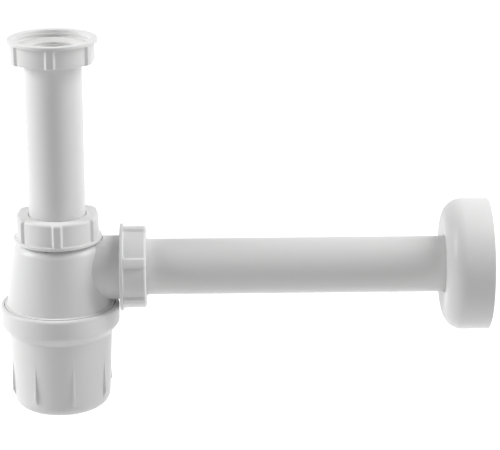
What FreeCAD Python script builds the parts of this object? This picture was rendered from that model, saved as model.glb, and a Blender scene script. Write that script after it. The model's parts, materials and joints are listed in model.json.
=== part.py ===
import FreeCAD, Part
import os
import Sketcher
from FreeCAD import Placement, Rotation, Vector

# Bottle trap for a wash basin, in white plastic.
# The origin is the seat of the sink waste: the top face of the washer in the union nut, on the
# axis of the inlet tube. +Z is up and +X points along the outlet tube to the wall.
# Lengths are millimetres. A "radius" is measured from the axis of the piece that it belongs to.

SIZES = (
    # Tubes
    ("tube_diameter", 32.0, "outside of the inlet and outlet tubes"),
    ("tube_wall", 1.8, "wall of both tubes"),
    ("inlet_length", 140.0, "inlet tube below its collar's top face"),
    ("inlet_collar_radius", 19.2, "collar at the top of the inlet tube"),
    ("inlet_collar_height", 2.5, "collar at the top of the inlet tube"),
    ("outlet_length", 212.5, "outlet tube, end to end"),
    ("spigot_length", 18.0, "end of the outlet tube that enters the wall pipe, up to its mark"),
    ("spigot_mark_width", 1.0, "ring groove that marks how far the tube goes in"),
    ("spigot_mark_depth", 0.3, "depth of that groove"),
    ("spigot_chamfer", 1.0, "lead-in at the end of the outlet tube"),
    # Clearances
    ("play", 0.3, "between round faces of separate pieces"),
    ("slide_play", 0.35, "rosette on its tube"),
    ("hole_play", 0.4, "hole of a nut round its tube"),
    ("seal_play", 0.05, "seal on its tube"),
    ("seat_gap", 0.1, "between flat seats"),
    # Union nut and washer at the sink waste
    ("union_height", 13.0, "union nut"),
    ("union_rim", 4.0, "thread of the union nut, above the washer"),
    ("union_floor", 3.5, "floor of the union nut, under the tube's collar"),
    ("union_thread_radius", 20.955, "thread of the union nut, at its root"),
    ("washer_radius", 19.3, "washer, outside"),
    ("washer_bore_radius", 14.6, "washer, hole"),
    ("washer_thickness", 3.0, "washer"),
    ("washer_dish", 0.8, "fall of the washer's top face to its hole"),
    # Grip of all three nuts
    ("flange_radius", 25.0, "flange of a nut"),
    ("flange_thickness", 2.0, "flange of a nut"),
    ("nut_radius", 23.3, "outer wall of a nut, between its ribs"),
    ("rib_radius", 24.55, "crest of a rib"),
    ("rib_crest", 4.0, "width of a rib at its crest"),
    ("rib_foot", 6.2, "width of a rib at its foot"),
    ("rib_root_depth", 0.7, "how far a rib's foot reaches into the wall"),
    ("rib_count", 6, "ribs round a nut"),
    ("nut_rounding", 1.5, "round edge at the end of a nut"),
    ("flange_rounding", 0.4, "edges of a flange"),
    # Compression nuts and what they squeeze
    ("nut_height", 15.0, "compression nut"),
    ("nut_end_wall", 2.4, "end wall of a compression nut"),
    ("ring_thickness", 1.8, "slip ring"),
    ("ring_radius", 20.4, "slip ring, outside"),
    ("seal_head_thickness", 1.5, "head of a cone seal"),
    ("seal_head_radius", 20.2, "head of a cone seal"),
    ("seat_radius", 19.9, "conical seat, at the mouth"),
    ("seat_depth", 6.0, "conical seat"),
    ("seat_taper", 1.2, "how much narrower the seat is at its bottom"),
    ("seal_toe_gap", 0.2, "from the toe of a seal to the bottom of its seat"),
    ("thread_radius", 21.3, "male thread on the neck and the branch, at its crest"),
    # Trap body
    ("neck_drop", 103.3, "from the waste seat down to the mouth of the neck"),
    ("neck_height", 10.2, "from the mouth of the neck down to the shoulder"),
    ("shoulder_radius", 24.5, "body at its shoulder, before the edge is rounded"),
    ("shoulder_rounding", 5.0, "edge of the shoulder"),
    ("base_drop", 56.9, "from the mouth of the neck down to the body's lower edge"),
    ("base_step", 1.4, "how far the lower thread stands out from the body above it"),
    ("body_wall", 2.0, "wall of the body"),
    ("body_thread_radius", 31.5, "male thread at the foot of the body, at its crest"),
    ("body_thread_height", 10.1, "male thread at the foot of the body"),
    ("chamber_rounding", 3.0, "upper edge of the water chamber"),
    # Outlet branch of the body
    ("outlet_drop", 26.7, "from the mouth of the neck down to the outlet axis"),
    ("nut_clearance", 1.0, "between the outlet nut and the collar of the cup"),
    ("branch_radius", 18.2, "branch between the body and its thread"),
    ("branch_thread_length", 8.5, "male thread at the end of the branch"),
    ("branch_bore_radius", 16.4, "socket of the outlet tube"),
    ("branch_bore_depth", 14.5, "socket of the outlet tube, from the mouth"),
    ("outlet_hole_radius", 14.2, "hole from the water chamber into the branch"),
    ("insertion_gap", 1.0, "between the end of the outlet tube and the bottom of its socket"),
    # Dip tube
    ("dip_radius", 17.6, "dip tube, outside"),
    ("dip_bore_radius", 16.4, "dip tube, inside"),
    ("dip_flange_radius", 18.5, "flange that hangs the dip tube in the neck"),
    ("dip_flange_thickness", 1.8, "flange of the dip tube"),
    ("dip_length", 86.5, "dip tube"),
    # Cup and its gasket
    ("collar_wall", 2.2, "collar of the cup, outside its thread"),
    ("collar_depth", 11.8, "from the collar's rim down to the ledge of the gasket"),
    ("collar_skirt", 11.3, "upright outer face of the collar"),
    ("collar_total", 16.4, "from the collar's rim to the foot of its sloped face"),
    ("collar_rounding", 1.2, "edges of the collar"),
    ("cup_height", 61.4, "cup"),
    ("cup_step", 2.0, "how far the cup stands back under its collar from the thread"),
    ("cup_taper", 2.0, "how much narrower the cup is at its foot"),
    ("cup_wall", 1.8, "wall of the cup"),
    ("cup_rounding", 6.5, "lower edge of the cup"),
    ("grip_rise", 2.0, "how far a grip rib stands out at the foot of the cup"),
    ("grip_width", 1.3, "a grip rib"),
    ("grip_count", 8, "grip ribs round the cup"),
    ("grip_top", 24.4, "from the collar's rim down to the top of a grip rib"),
    ("grip_lift", 6.2, "from the cup's bottom up to the foot of a grip rib"),
    ("grip_slope", 5.0, "sloped foot of a grip rib"),
    ("gasket_thickness", 2.0, "gasket"),
    # Wall rosette
    ("rosette_radius", 37.5, "rosette at the wall"),
    ("rosette_depth", 26.0, "from the wall to the front edge of the rosette"),
    ("rosette_wall", 1.6, "wall of the rosette"),
    ("rosette_land", 0.5, "level ring between the round edge and the dished front"),
    ("rosette_dish", 1.5, "fall of the front from that ring to the hole"),
    ("rosette_rounding", 11.0, "large round edge of the rosette"),
    ("rosette_lip", 3.0, "lip round the hole of the rosette, from its front"),
    ("wall_gap", 2.0, "from the end of the outlet tube to the wall"),
)

# How far each piece is turned about its own axis, in degrees, as seen in the picture.
UNION_NUT_TURN = 30.0
INLET_NUT_TURN = 32.6
OUTLET_NUT_TURN = 6.0
CUP_TURN = 16.5

document = FreeCAD.newDocument("bottle_trap")


def fill_sheet():
    """Write each size with its meaning into the spreadsheet, and give its cell the alias."""
    sheet = document.addObject("Spreadsheet::Sheet", "sizes")
    for row, (alias, size, meaning) in enumerate(SIZES, start=1):
        sheet.set(f"A{row}", meaning)
        sheet.set(f"B{row}", str(size))
        sheet.setAlias(f"B{row}", alias)
    document.recompute()
    return sheet


sheet = fill_sheet()


def number(expression):
    """The present value of an expression of named sizes."""
    return float(sheet.evalExpression(expression))


# Sizes that follow from others, as expressions of the named sizes.
TUBE = "sizes.tube_diameter / 2"
TUBE_BORE = f"({TUBE} - sizes.tube_wall)"
NUT_HOLE = f"({TUBE} + sizes.hole_play)"
SEAL_BORE = f"({TUBE} + sizes.seal_play)"
SEAT_FOOT = "(sizes.seat_radius - sizes.seat_taper)"
SEAL_TOP = "(sizes.seat_gap + sizes.seal_head_thickness)"
RING_FOOT = f"({SEAL_TOP} + sizes.seat_gap)"
RING_TOP = f"({RING_FOOT} + sizes.ring_thickness)"
NUT_CEILING = f"({RING_TOP} + sizes.seat_gap)"
NUT_TOP = f"({NUT_CEILING} + sizes.nut_end_wall)"
NUT_FOOT = f"({NUT_TOP} - sizes.nut_height)"
FLANGE_TOP = f"({NUT_FOOT} + sizes.flange_thickness)"
NUT_BORE = "(sizes.thread_radius + sizes.play)"
UNION_FOOT = "(sizes.union_rim - sizes.union_height)"
UNION_SEAT = f"({UNION_FOOT} + sizes.union_floor)"
UNION_BORE = "(sizes.washer_radius + sizes.play)"
INLET_TOP = "-sizes.washer_thickness"
BASE_RADIUS = "(sizes.body_thread_radius - sizes.base_step)"
COLLAR_BORE = "(sizes.body_thread_radius + sizes.play)"
COLLAR_RADIUS = f"({COLLAR_BORE} + sizes.collar_wall)"
BRANCH_REACH = f"({COLLAR_RADIUS} + sizes.nut_clearance - {NUT_FOOT})"
BRANCH_ROOT = "((sizes.thread_radius + sizes.dip_radius + sizes.play) / 2)"
BRANCH_STOP = f"({BRANCH_REACH} - sizes.branch_bore_depth)"
OUTLET_START = f"({BRANCH_STOP} + sizes.insertion_gap)"
WALL_PLANE = f"({OUTLET_START} + sizes.outlet_length + sizes.wall_gap)"
LEDGE_DROP = "(sizes.base_drop + 2 * sizes.seat_gap + sizes.gasket_thickness)"
COLLAR_DROP = f"({LEDGE_DROP} - sizes.collar_depth)"
CUP_RADIUS = "(sizes.body_thread_radius - sizes.cup_step)"
CUP_FOOT = f"({CUP_RADIUS} - sizes.cup_taper)"
CUP_BORE_TOP = f"({CUP_RADIUS} - sizes.cup_wall)"
CUP_BORE_FOOT = f"({CUP_FOOT} - sizes.cup_wall)"
GRIP_RADIUS = f"({CUP_FOOT} + sizes.grip_rise)"
OUTLET_AXIS = "(sizes.neck_drop + sizes.outlet_drop)"


def new_body(label):
    """A body for one sub-part, named as its file will be."""
    body = document.addObject("PartDesign::Body", label)
    body.Label = label
    return body


def origin_plane(body, role):
    """One of the body's own origin planes, such as XZ_Plane."""
    return next(plane for plane in body.Origin.OriginFeatures if plane.Role == role)


def outline(body, name, corners, plane="XZ_Plane"):
    """A closed outline. Each corner is a pair of expressions, measured from the body's origin."""
    sketch = body.newObject("Sketcher::SketchObject", name)
    sketch.AttachmentSupport = (origin_plane(body, plane), "")
    sketch.MapMode = "FlatFace"
    points = [Vector(number(across), number(up), 0) for across, up in corners]
    count = len(points)
    for index, point in enumerate(points):
        sketch.addGeometry(Part.LineSegment(point, points[(index + 1) % count]), False)
    for index in range(count):
        sketch.addConstraint(Sketcher.Constraint("Coincident", index, 2, (index + 1) % count, 1))
    for index, (across, up) in enumerate(corners):
        point = points[index]
        for kind, size, expression in (("DistanceX", point.x, across), ("DistanceY", point.y, up)):
            place = sketch.addConstraint(Sketcher.Constraint(kind, -1, 1, index, 1, size))
            sketch.setExpression(f"Constraints[{place}]", expression)
    return sketch


def turned(body, name, corners, lower_axis_by=None):
    """A turned feature about the body's Z axis. With lower_axis_by it is turned about a line along
    X that lies this far below the body's origin, and its corners are (along, radius) pairs."""
    return revolve(body, "PartDesign::Revolution", name, corners, lower_axis_by)


def bored(body, name, corners, lower_axis_by=None):
    """The same as turned, but it takes its shape away. It must make the solid smaller."""
    before = body.Tip.Shape.Volume
    groove = revolve(body, "PartDesign::Groove", name, corners, lower_axis_by)
    if groove.Shape.Volume >= before:
        raise ValueError(f"{body.Label}: {name} takes nothing away")
    return groove


def revolve(body, kind, name, corners, lower_axis_by):
    """One full turn of an outline, as a feature of the given kind."""
    sketch = outline(body, name + "_outline", corners)
    axis = "V_Axis"
    if lower_axis_by is not None:
        sketch.setExpression("AttachmentOffset.Base.y", f"-({lower_axis_by})")
        axis = "H_Axis"
    feature = body.newObject(kind, name)
    feature.Profile = sketch
    feature.ReferenceAxis = (sketch, [axis])
    feature.Angle = 360
    document.recompute()
    return feature


def rounded(body, name, radius, rings, kind="PartDesign::Fillet"):
    """Round (or chamfer) circular edges about the body's Z axis, each given as radius and height."""
    base = body.Tip
    wanted = [(number(ring), number(level)) for ring, level in rings]
    edges = []
    for index, edge in enumerate(base.Shape.Edges, start=1):
        if not isinstance(edge.Curve, Part.Circle):
            continue
        centre = edge.Curve.Center
        for ring, level in wanted:
            off = abs(edge.Curve.Radius - ring) + abs(centre.z - level) + abs(centre.x) + abs(centre.y)
            if off < 0.001:
                edges.append(f"Edge{index}")
    if len(edges) < len(rings):
        raise ValueError(f"{body.Label}: {name} finds {len(edges)} of {len(rings)} edges")
    feature = body.newObject(kind, name)
    feature.Base = (base, edges)
    feature.setExpression("Size" if kind == "PartDesign::Chamfer" else "Radius", radius)
    document.recompute()
    return feature


def repeated(body, name, feature, count):
    """Copies of a feature round the body's Z axis."""
    axis = next(line for line in body.Origin.OriginFeatures if line.Role == "Z_Axis")
    pattern = body.newObject("PartDesign::PolarPattern", name)
    pattern.Originals = [feature]
    pattern.Axis = (axis, [""])
    pattern.Angle = 360
    pattern.setExpression("Occurrences", count)
    body.Tip = pattern
    document.recompute()
    return pattern


def seat(body, height, turn):
    """Put an upright piece on the inlet axis, with its origin this far above the waste seat."""
    body.Placement = Placement(Vector(), Rotation(Vector(0, 0, 1), turn))
    body.setExpression("Placement.Base.z", height)


def lay(body, along, turn):
    """Put a piece on the outlet axis, its own +Z towards the wall, its origin at this X."""
    about_own_axis = Rotation(Vector(0, 0, 1), turn)
    towards_wall = Rotation(Vector(0, 1, 0), 90)
    body.Placement = Placement(Vector(), towards_wall.multiply(about_own_axis))
    body.setExpression("Placement.Base.x", along)
    body.setExpression("Placement.Base.z", f"-{OUTLET_AXIS}")


def add_nut_ribs(body, foot, height, free_end, outward):
    """Ribs on a nut's wall, from foot upwards. Their free end is sloped like the nut's edge:
    outward is "+" where that end is the upper one and "-" where it is the lower one."""
    root = "sizes.nut_radius - sizes.rib_root_depth"
    section = outline(
        body,
        "rib_section",
        [
            (root, "-sizes.rib_foot / 2"),
            ("sizes.rib_radius", "-sizes.rib_crest / 2"),
            ("sizes.rib_radius", "sizes.rib_crest / 2"),
            (root, "sizes.rib_foot / 2"),
        ],
        plane="XY_Plane",
    )
    section.setExpression("AttachmentOffset.Base.z", foot)
    rib = body.newObject("PartDesign::Pad", "rib")
    rib.Profile = section
    rib.setExpression("Length", height)
    document.recompute()
    repeated(body, "ribs", rib, "sizes.rib_count")
    beyond = "sizes.rib_radius + sizes.nut_rounding"
    inward = "-" if outward == "+" else "+"
    bored(
        body,
        "rib_ends",
        [
            ("sizes.rib_radius - sizes.nut_rounding", free_end),
            (beyond, f"{free_end} {inward} 2 * sizes.nut_rounding"),
            (beyond, free_end),
        ],
    )


def make_union_nut():
    """Nut at the sink waste: flange at its upper rim, short thread, seat for the washer, floor."""
    body = new_body("union_nut")
    turned(
        body,
        "wall",
        [
            (NUT_HOLE, UNION_FOOT),
            ("sizes.nut_radius", UNION_FOOT),
            ("sizes.nut_radius", "sizes.union_rim - sizes.flange_thickness"),
            ("sizes.flange_radius", "sizes.union_rim - sizes.flange_thickness"),
            ("sizes.flange_radius", "sizes.union_rim"),
            ("sizes.union_thread_radius", "sizes.union_rim"),
            ("sizes.union_thread_radius", "0"),
            (UNION_BORE, "0"),
            (UNION_BORE, UNION_SEAT),
            (NUT_HOLE, UNION_SEAT),
        ],
    )
    rounded(body, "lower_edge", "sizes.nut_rounding", [("sizes.nut_radius", UNION_FOOT)])
    rounded(
        body,
        "flange_edges",
        "sizes.flange_rounding",
        [
            ("sizes.flange_radius", "sizes.union_rim"),
            ("sizes.flange_radius", "sizes.union_rim - sizes.flange_thickness"),
        ],
    )
    rib_height = "sizes.union_height - sizes.flange_thickness"
    add_nut_ribs(body, UNION_FOOT, rib_height, UNION_FOOT, "-")
    seat(body, "0", UNION_NUT_TURN)
    return body


def make_waste_washer():
    """Washer between the sink waste and the collar of the inlet tube, slightly dished on top."""
    body = new_body("waste_washer")
    flat = "(sizes.washer_radius + sizes.washer_bore_radius) / 2"
    turned(
        body,
        "ring",
        [
            ("sizes.washer_bore_radius", "-sizes.washer_thickness"),
            ("sizes.washer_radius", "-sizes.washer_thickness"),
            ("sizes.washer_radius", "0"),
            (flat, "0"),
            ("sizes.washer_bore_radius", "-sizes.washer_dish"),
        ],
    )
    return body


def make_inlet_tube():
    """Straight tube with a collar at its top, which the union nut lifts against the washer."""
    body = new_body("inlet_tube")
    turned(
        body,
        "tube",
        [
            (TUBE_BORE, "-sizes.inlet_length"),
            (TUBE, "-sizes.inlet_length"),
            (TUBE, "-sizes.inlet_collar_height"),
            ("sizes.inlet_collar_radius", "-sizes.inlet_collar_height"),
            ("sizes.inlet_collar_radius", "0"),
            (TUBE_BORE, "0"),
        ],
    )
    seat(body, INLET_TOP, 0)
    return body


def make_compression_nut(label):
    """Nut with its flange at the foot, a plain bore over the male thread and an end wall. Its
    origin is the mouth of the socket that it screws onto, and +Z points out of that socket."""
    body = new_body(label)
    turned(
        body,
        "wall",
        [
            (NUT_BORE, NUT_FOOT),
            ("sizes.flange_radius", NUT_FOOT),
            ("sizes.flange_radius", FLANGE_TOP),
            ("sizes.nut_radius", FLANGE_TOP),
            ("sizes.nut_radius", NUT_TOP),
            (NUT_HOLE, NUT_TOP),
            (NUT_HOLE, NUT_CEILING),
            (NUT_BORE, NUT_CEILING),
        ],
    )
    rounded(body, "upper_edge", "sizes.nut_rounding", [("sizes.nut_radius", NUT_TOP)])
    flange_rings = [("sizes.flange_radius", NUT_FOOT), ("sizes.flange_radius", FLANGE_TOP)]
    rounded(body, "flange_edges", "sizes.flange_rounding", flange_rings)
    add_nut_ribs(body, FLANGE_TOP, f"{NUT_TOP} - {FLANGE_TOP}", NUT_TOP, "+")
    return body


def make_slip_ring(label):
    """Flat ring that lets the nut turn without dragging the seal."""
    body = new_body(label)
    bore = f"{TUBE} + sizes.play"
    turned(
        body,
        "ring",
        [
            (bore, RING_FOOT),
            ("sizes.ring_radius", RING_FOOT),
            ("sizes.ring_radius", RING_TOP),
            (bore, RING_TOP),
        ],
    )
    return body


def make_cone_seal(label):
    """Seal with a flat head on the mouth of the socket and a cone that follows the seat."""
    body = new_body(label)
    toe = "(sizes.seat_depth - sizes.seal_toe_gap)"
    toe_radius = f"sizes.seat_radius - sizes.play - sizes.seat_taper * {toe} / sizes.seat_depth"
    turned(
        body,
        "seal",
        [
            (SEAL_BORE, f"-{toe}"),
            (toe_radius, f"-{toe}"),
            ("sizes.seat_radius - sizes.play", "sizes.seat_gap"),
            ("sizes.seal_head_radius", "sizes.seat_gap"),
            ("sizes.seal_head_radius", SEAL_TOP),
            (SEAL_BORE, SEAL_TOP),
        ],
    )
    return body


def make_trap_body():
    """Hollow head of the trap, one moulding: neck on top, branch at the side, thread at the foot.
    Its origin is the mouth of the neck."""
    body = new_body("trap_body")
    shoulder = "-sizes.neck_height"
    thread_top = "-(sizes.base_drop - sizes.body_thread_height)"
    turned(
        body,
        "head",
        [
            ("0", shoulder),
            ("sizes.shoulder_radius", shoulder),
            (BASE_RADIUS, thread_top),
            ("sizes.body_thread_radius", thread_top),
            ("sizes.body_thread_radius", "-sizes.base_drop"),
            ("0", "-sizes.base_drop"),
        ],
    )
    rounded(body, "shoulder_edge", "sizes.shoulder_rounding", [("sizes.shoulder_radius", shoulder)])
    neck_foot = f"{shoulder} - sizes.body_wall / 2"
    turned(
        body,
        "neck",
        [
            ("0", neck_foot),
            ("sizes.thread_radius", neck_foot),
            ("sizes.thread_radius", "0"),
            ("0", "0"),
        ],
    )
    thread_start = f"{BRANCH_REACH} - sizes.branch_thread_length"
    turned(
        body,
        "branch",
        [
            (BRANCH_ROOT, "0"),
            (BRANCH_ROOT, "sizes.branch_radius"),
            (thread_start, "sizes.branch_radius"),
            (thread_start, "sizes.thread_radius"),
            (BRANCH_REACH, "sizes.thread_radius"),
            (BRANCH_REACH, "0"),
        ],
        lower_axis_by="sizes.outlet_drop",
    )
    # A level floor under the flange of the inlet nut, where the branch would touch it.
    floor_level = f"{NUT_FOOT} - sizes.play"
    floor_edge = "sizes.flange_radius + sizes.play"
    bored(
        body,
        "nut_floor",
        [
            ("sizes.thread_radius", floor_level),
            (floor_edge, floor_level),
            (floor_edge, "0"),
            ("sizes.thread_radius", "0"),
        ],
    )
    ceiling = f"({shoulder} - sizes.body_wall)"
    bored(
        body,
        "water_chamber",
        [
            ("0", ceiling),
            ("sizes.shoulder_radius - sizes.body_wall", ceiling),
            (f"{BASE_RADIUS} - sizes.body_wall", thread_top),
            (f"{BASE_RADIUS} - sizes.body_wall", "-sizes.base_drop"),
            ("0", "-sizes.base_drop"),
        ],
    )
    chamber_ring = ("sizes.shoulder_radius - sizes.body_wall", ceiling)
    rounded(body, "chamber_edge", "sizes.chamber_rounding", [chamber_ring])
    rebate = "sizes.dip_flange_radius + sizes.play"
    ledge = "-(sizes.seat_depth + sizes.seal_toe_gap + sizes.dip_flange_thickness)"
    dip_hole = "sizes.dip_radius + sizes.play"
    bored(
        body,
        "neck_bore",
        [
            ("0", "0"),
            ("sizes.seat_radius", "0"),
            (SEAT_FOOT, "-sizes.seat_depth"),
            (rebate, "-sizes.seat_depth"),
            (rebate, ledge),
            (dip_hole, ledge),
            (dip_hole, f"{ceiling} - sizes.body_wall"),
            ("0", f"{ceiling} - sizes.body_wall"),
        ],
    )
    bored(
        body,
        "branch_bore",
        [
            (BRANCH_REACH, "0"),
            (BRANCH_REACH, "sizes.seat_radius"),
            (f"{BRANCH_REACH} - sizes.seat_depth", SEAT_FOOT),
            (f"{BRANCH_REACH} - sizes.seat_depth", "sizes.branch_bore_radius"),
            (BRANCH_STOP, "sizes.branch_bore_radius"),
            (BRANCH_STOP, "sizes.outlet_hole_radius"),
            (BRANCH_ROOT, "sizes.outlet_hole_radius"),
            (BRANCH_ROOT, "0"),
        ],
        lower_axis_by="sizes.outlet_drop",
    )
    seat(body, "-sizes.neck_drop", 0)
    return body


def make_dip_tube():
    """Tube that hangs by its flange in the neck and ends low in the cup."""
    body = new_body("dip_tube")
    turned(
        body,
        "tube",
        [
            ("sizes.dip_bore_radius", "-sizes.dip_length"),
            ("sizes.dip_radius", "-sizes.dip_length"),
            ("sizes.dip_radius", "-sizes.dip_flange_thickness"),
            ("sizes.dip_flange_radius", "-sizes.dip_flange_thickness"),
            ("sizes.dip_flange_radius", "0"),
            ("sizes.dip_bore_radius", "0"),
        ],
    )
    seat(body, "-(sizes.neck_drop + sizes.seat_depth + sizes.seal_toe_gap)", 0)
    return body


def make_cup_gasket():
    """Flat ring on the ledge of the cup, under the lower edge of the body."""
    body = new_body("cup_gasket")
    bore = f"{CUP_BORE_TOP} + sizes.play"
    rim = "sizes.body_thread_radius"
    turned(
        body,
        "ring",
        [
            (bore, "-sizes.gasket_thickness"),
            (rim, "-sizes.gasket_thickness"),
            (rim, "0"),
            (bore, "0"),
        ],
    )
    seat(body, "-(sizes.neck_drop + sizes.base_drop + sizes.seat_gap)", 0)
    return body


def make_cup():
    """Bottle cup with a wide collar over the body's lower thread and grip ribs on its wall. Its
    origin is the rim of the collar."""
    body = new_body("cup")
    bottom = "-sizes.cup_height"
    turned(
        body,
        "outside",
        [
            ("0", bottom),
            (CUP_FOOT, bottom),
            (CUP_RADIUS, "-sizes.collar_total"),
            (COLLAR_RADIUS, "-sizes.collar_skirt"),
            (COLLAR_RADIUS, "0"),
            ("0", "0"),
        ],
    )
    collar_rings = [(COLLAR_RADIUS, "0"), (COLLAR_RADIUS, "-sizes.collar_skirt")]
    rounded(body, "collar_edges", "sizes.collar_rounding", collar_rings)
    floor_level = f"{bottom} + sizes.cup_wall"
    bored(
        body,
        "inside",
        [
            ("0", "0"),
            (COLLAR_BORE, "0"),
            (COLLAR_BORE, "-sizes.collar_depth"),
            (CUP_BORE_TOP, "-sizes.collar_depth"),
            (CUP_BORE_TOP, "-sizes.collar_total"),
            (CUP_BORE_FOOT, floor_level),
            ("0", floor_level),
        ],
    )
    inner_rounding = "sizes.cup_rounding - sizes.cup_wall"
    rounded(body, "inside_edge", inner_rounding, [(CUP_BORE_FOOT, floor_level)])
    rounded(body, "lower_edge", "sizes.cup_rounding", [(CUP_FOOT, bottom)])
    # The grip ribs stand proud because the wall tapers. Their roots stay inside the wall.
    taper = "sizes.cup_taper / (sizes.cup_height - sizes.collar_total)"
    middle = f"{CUP_RADIUS} - sizes.cup_wall / 2"
    straight_end = f"({bottom} + sizes.cup_rounding)"
    rib_foot = f"({bottom} + sizes.grip_lift)"
    side = outline(
        body,
        "grip_side",
        [
            (f"{middle} - {taper} * (sizes.grip_top - sizes.collar_total)", "-sizes.grip_top"),
            (GRIP_RADIUS, "-sizes.grip_top"),
            (GRIP_RADIUS, f"{rib_foot} + sizes.grip_slope"),
            (CUP_FOOT, rib_foot),
            (CUP_BORE_FOOT, rib_foot),
            (f"{middle} + {taper} * ({straight_end} + sizes.collar_total)", straight_end),
        ],
    )
    rib = body.newObject("PartDesign::Pad", "grip_rib")
    rib.Profile = side
    rib.Midplane = True
    rib.setExpression("Length", "sizes.grip_width")
    document.recompute()
    repeated(body, "grip_ribs", rib, "sizes.grip_count")
    seat(body, f"-(sizes.neck_drop + {COLLAR_DROP})", CUP_TURN)
    return body


def make_outlet_tube():
    """Straight tube to the wall, with a ring groove that marks how deep its end goes in."""
    body = new_body("outlet_tube")
    mark_end = "(sizes.outlet_length - sizes.spigot_length)"
    mark_start = f"{mark_end} - sizes.spigot_mark_width"
    turned(
        body,
        "tube",
        [
            (TUBE_BORE, "0"),
            (TUBE, "0"),
            (TUBE, "sizes.outlet_length"),
            (TUBE_BORE, "sizes.outlet_length"),
        ],
    )
    end_ring = [(TUBE, "sizes.outlet_length")]
    rounded(body, "lead_in", "sizes.spigot_chamfer", end_ring, "PartDesign::Chamfer")
    bored(
        body,
        "depth_mark",
        [
            (f"{TUBE} - sizes.spigot_mark_depth", mark_start),
            (f"{TUBE} + sizes.spigot_mark_depth", mark_start),
            (f"{TUBE} + sizes.spigot_mark_depth", mark_end),
            (f"{TUBE} - sizes.spigot_mark_depth", mark_end),
        ],
    )
    lay(body, OUTLET_START, 0)
    return body


def make_wall_rosette():
    """Round cover plate: open at the wall, with a large round edge, a dished front and a short lip
    round its hole. Its origin is the wall plane, and the front is on its -Z side."""
    body = new_body("wall_rosette")
    crown = "(sizes.rosette_radius - sizes.rosette_rounding - sizes.rosette_land)"
    hole = f"({TUBE} + sizes.slide_play)"
    lip_radius = f"({hole} + sizes.rosette_wall)"
    front = "-sizes.rosette_depth"
    lip_front = f"({front} + sizes.rosette_dish)"
    lip_back = f"{lip_front} + sizes.rosette_lip"
    inner_front = f"({front} + sizes.rosette_wall)"
    inner_radius = "(sizes.rosette_radius - sizes.rosette_wall)"
    turned(
        body,
        "outside",
        [
            (hole, "0"),
            (hole, lip_front),
            (crown, front),
            ("sizes.rosette_radius", front),
            ("sizes.rosette_radius", "0"),
        ],
    )
    bored(
        body,
        "inside",
        [
            (hole, "0"),
            (hole, lip_back),
            (lip_radius, lip_back),
            (lip_radius, f"{lip_front} + sizes.rosette_wall"),
            (crown, inner_front),
            (inner_radius, inner_front),
            (inner_radius, "0"),
        ],
    )
    inner_rounding = "sizes.rosette_rounding - sizes.rosette_wall"
    rounded(body, "inside_edge", inner_rounding, [(inner_radius, inner_front)])
    rounded(body, "round_edge", "sizes.rosette_rounding", [("sizes.rosette_radius", front)])
    lay(body, WALL_PLANE, 0)
    return body


def make_inlet_joint():
    """Nut, slip ring and cone seal on the neck."""
    nut = make_compression_nut("inlet_nut")
    ring = make_slip_ring("inlet_slip_ring")
    seal = make_cone_seal("inlet_cone_seal")
    seat(nut, "-sizes.neck_drop", INLET_NUT_TURN)
    seat(ring, "-sizes.neck_drop", 0)
    seat(seal, "-sizes.neck_drop", 0)
    return [nut, ring, seal]


def make_outlet_joint():
    """Nut, slip ring and cone seal on the branch."""
    nut = make_compression_nut("outlet_nut")
    ring = make_slip_ring("outlet_slip_ring")
    seal = make_cone_seal("outlet_cone_seal")
    lay(nut, BRANCH_REACH, OUTLET_NUT_TURN)
    lay(ring, BRANCH_REACH, 0)
    lay(seal, BRANCH_REACH, 0)
    return [nut, ring, seal]


sub_parts = [
    make_union_nut(),
    make_waste_washer(),
    make_inlet_tube(),
    *make_inlet_joint(),
    make_trap_body(),
    make_dip_tube(),
    make_cup_gasket(),
    make_cup(),
    *make_outlet_joint(),
    make_outlet_tube(),
    make_wall_rosette(),
]
document.recompute()

for item in document.Objects:
    if "Invalid" in item.State or "Error" in item.State:
        raise ValueError(f"{item.Label} is {item.State}")
for sub_part in sub_parts:
    if sub_part.Shape.isNull() or not sub_part.Shape.isValid():
        raise ValueError(f"{sub_part.Label} has no valid shape")

os.makedirs("parts", exist_ok=True)
for sub_part in sub_parts:
    sub_part.Shape.exportStep(f"parts/{sub_part.Label}.step")
    box = sub_part.Shape.BoundBox
    print(
        f"{sub_part.Label}: {sub_part.Shape.Volume:.0f} mm3,",
        f"X {box.XMin:.2f} to {box.XMax:.2f}, Y {box.YMin:.2f} to {box.YMax:.2f},",
        f"Z {box.ZMin:.2f} to {box.ZMax:.2f}",
    )
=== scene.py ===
# %% [markdown]
# A bottle trap for a wash basin, all in white plastic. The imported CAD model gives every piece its
# true place and size. This file models the surfaces that are seen: rounded edges, ribs, real
# screw threads, and the satin skin of moulded plastic. Most of the pieces were round tools on a
# lathe before they were moulds, so most are made the same way here: an outline is turned.

import json
import math

import bpy
from mathutils import Matrix, Vector

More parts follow.
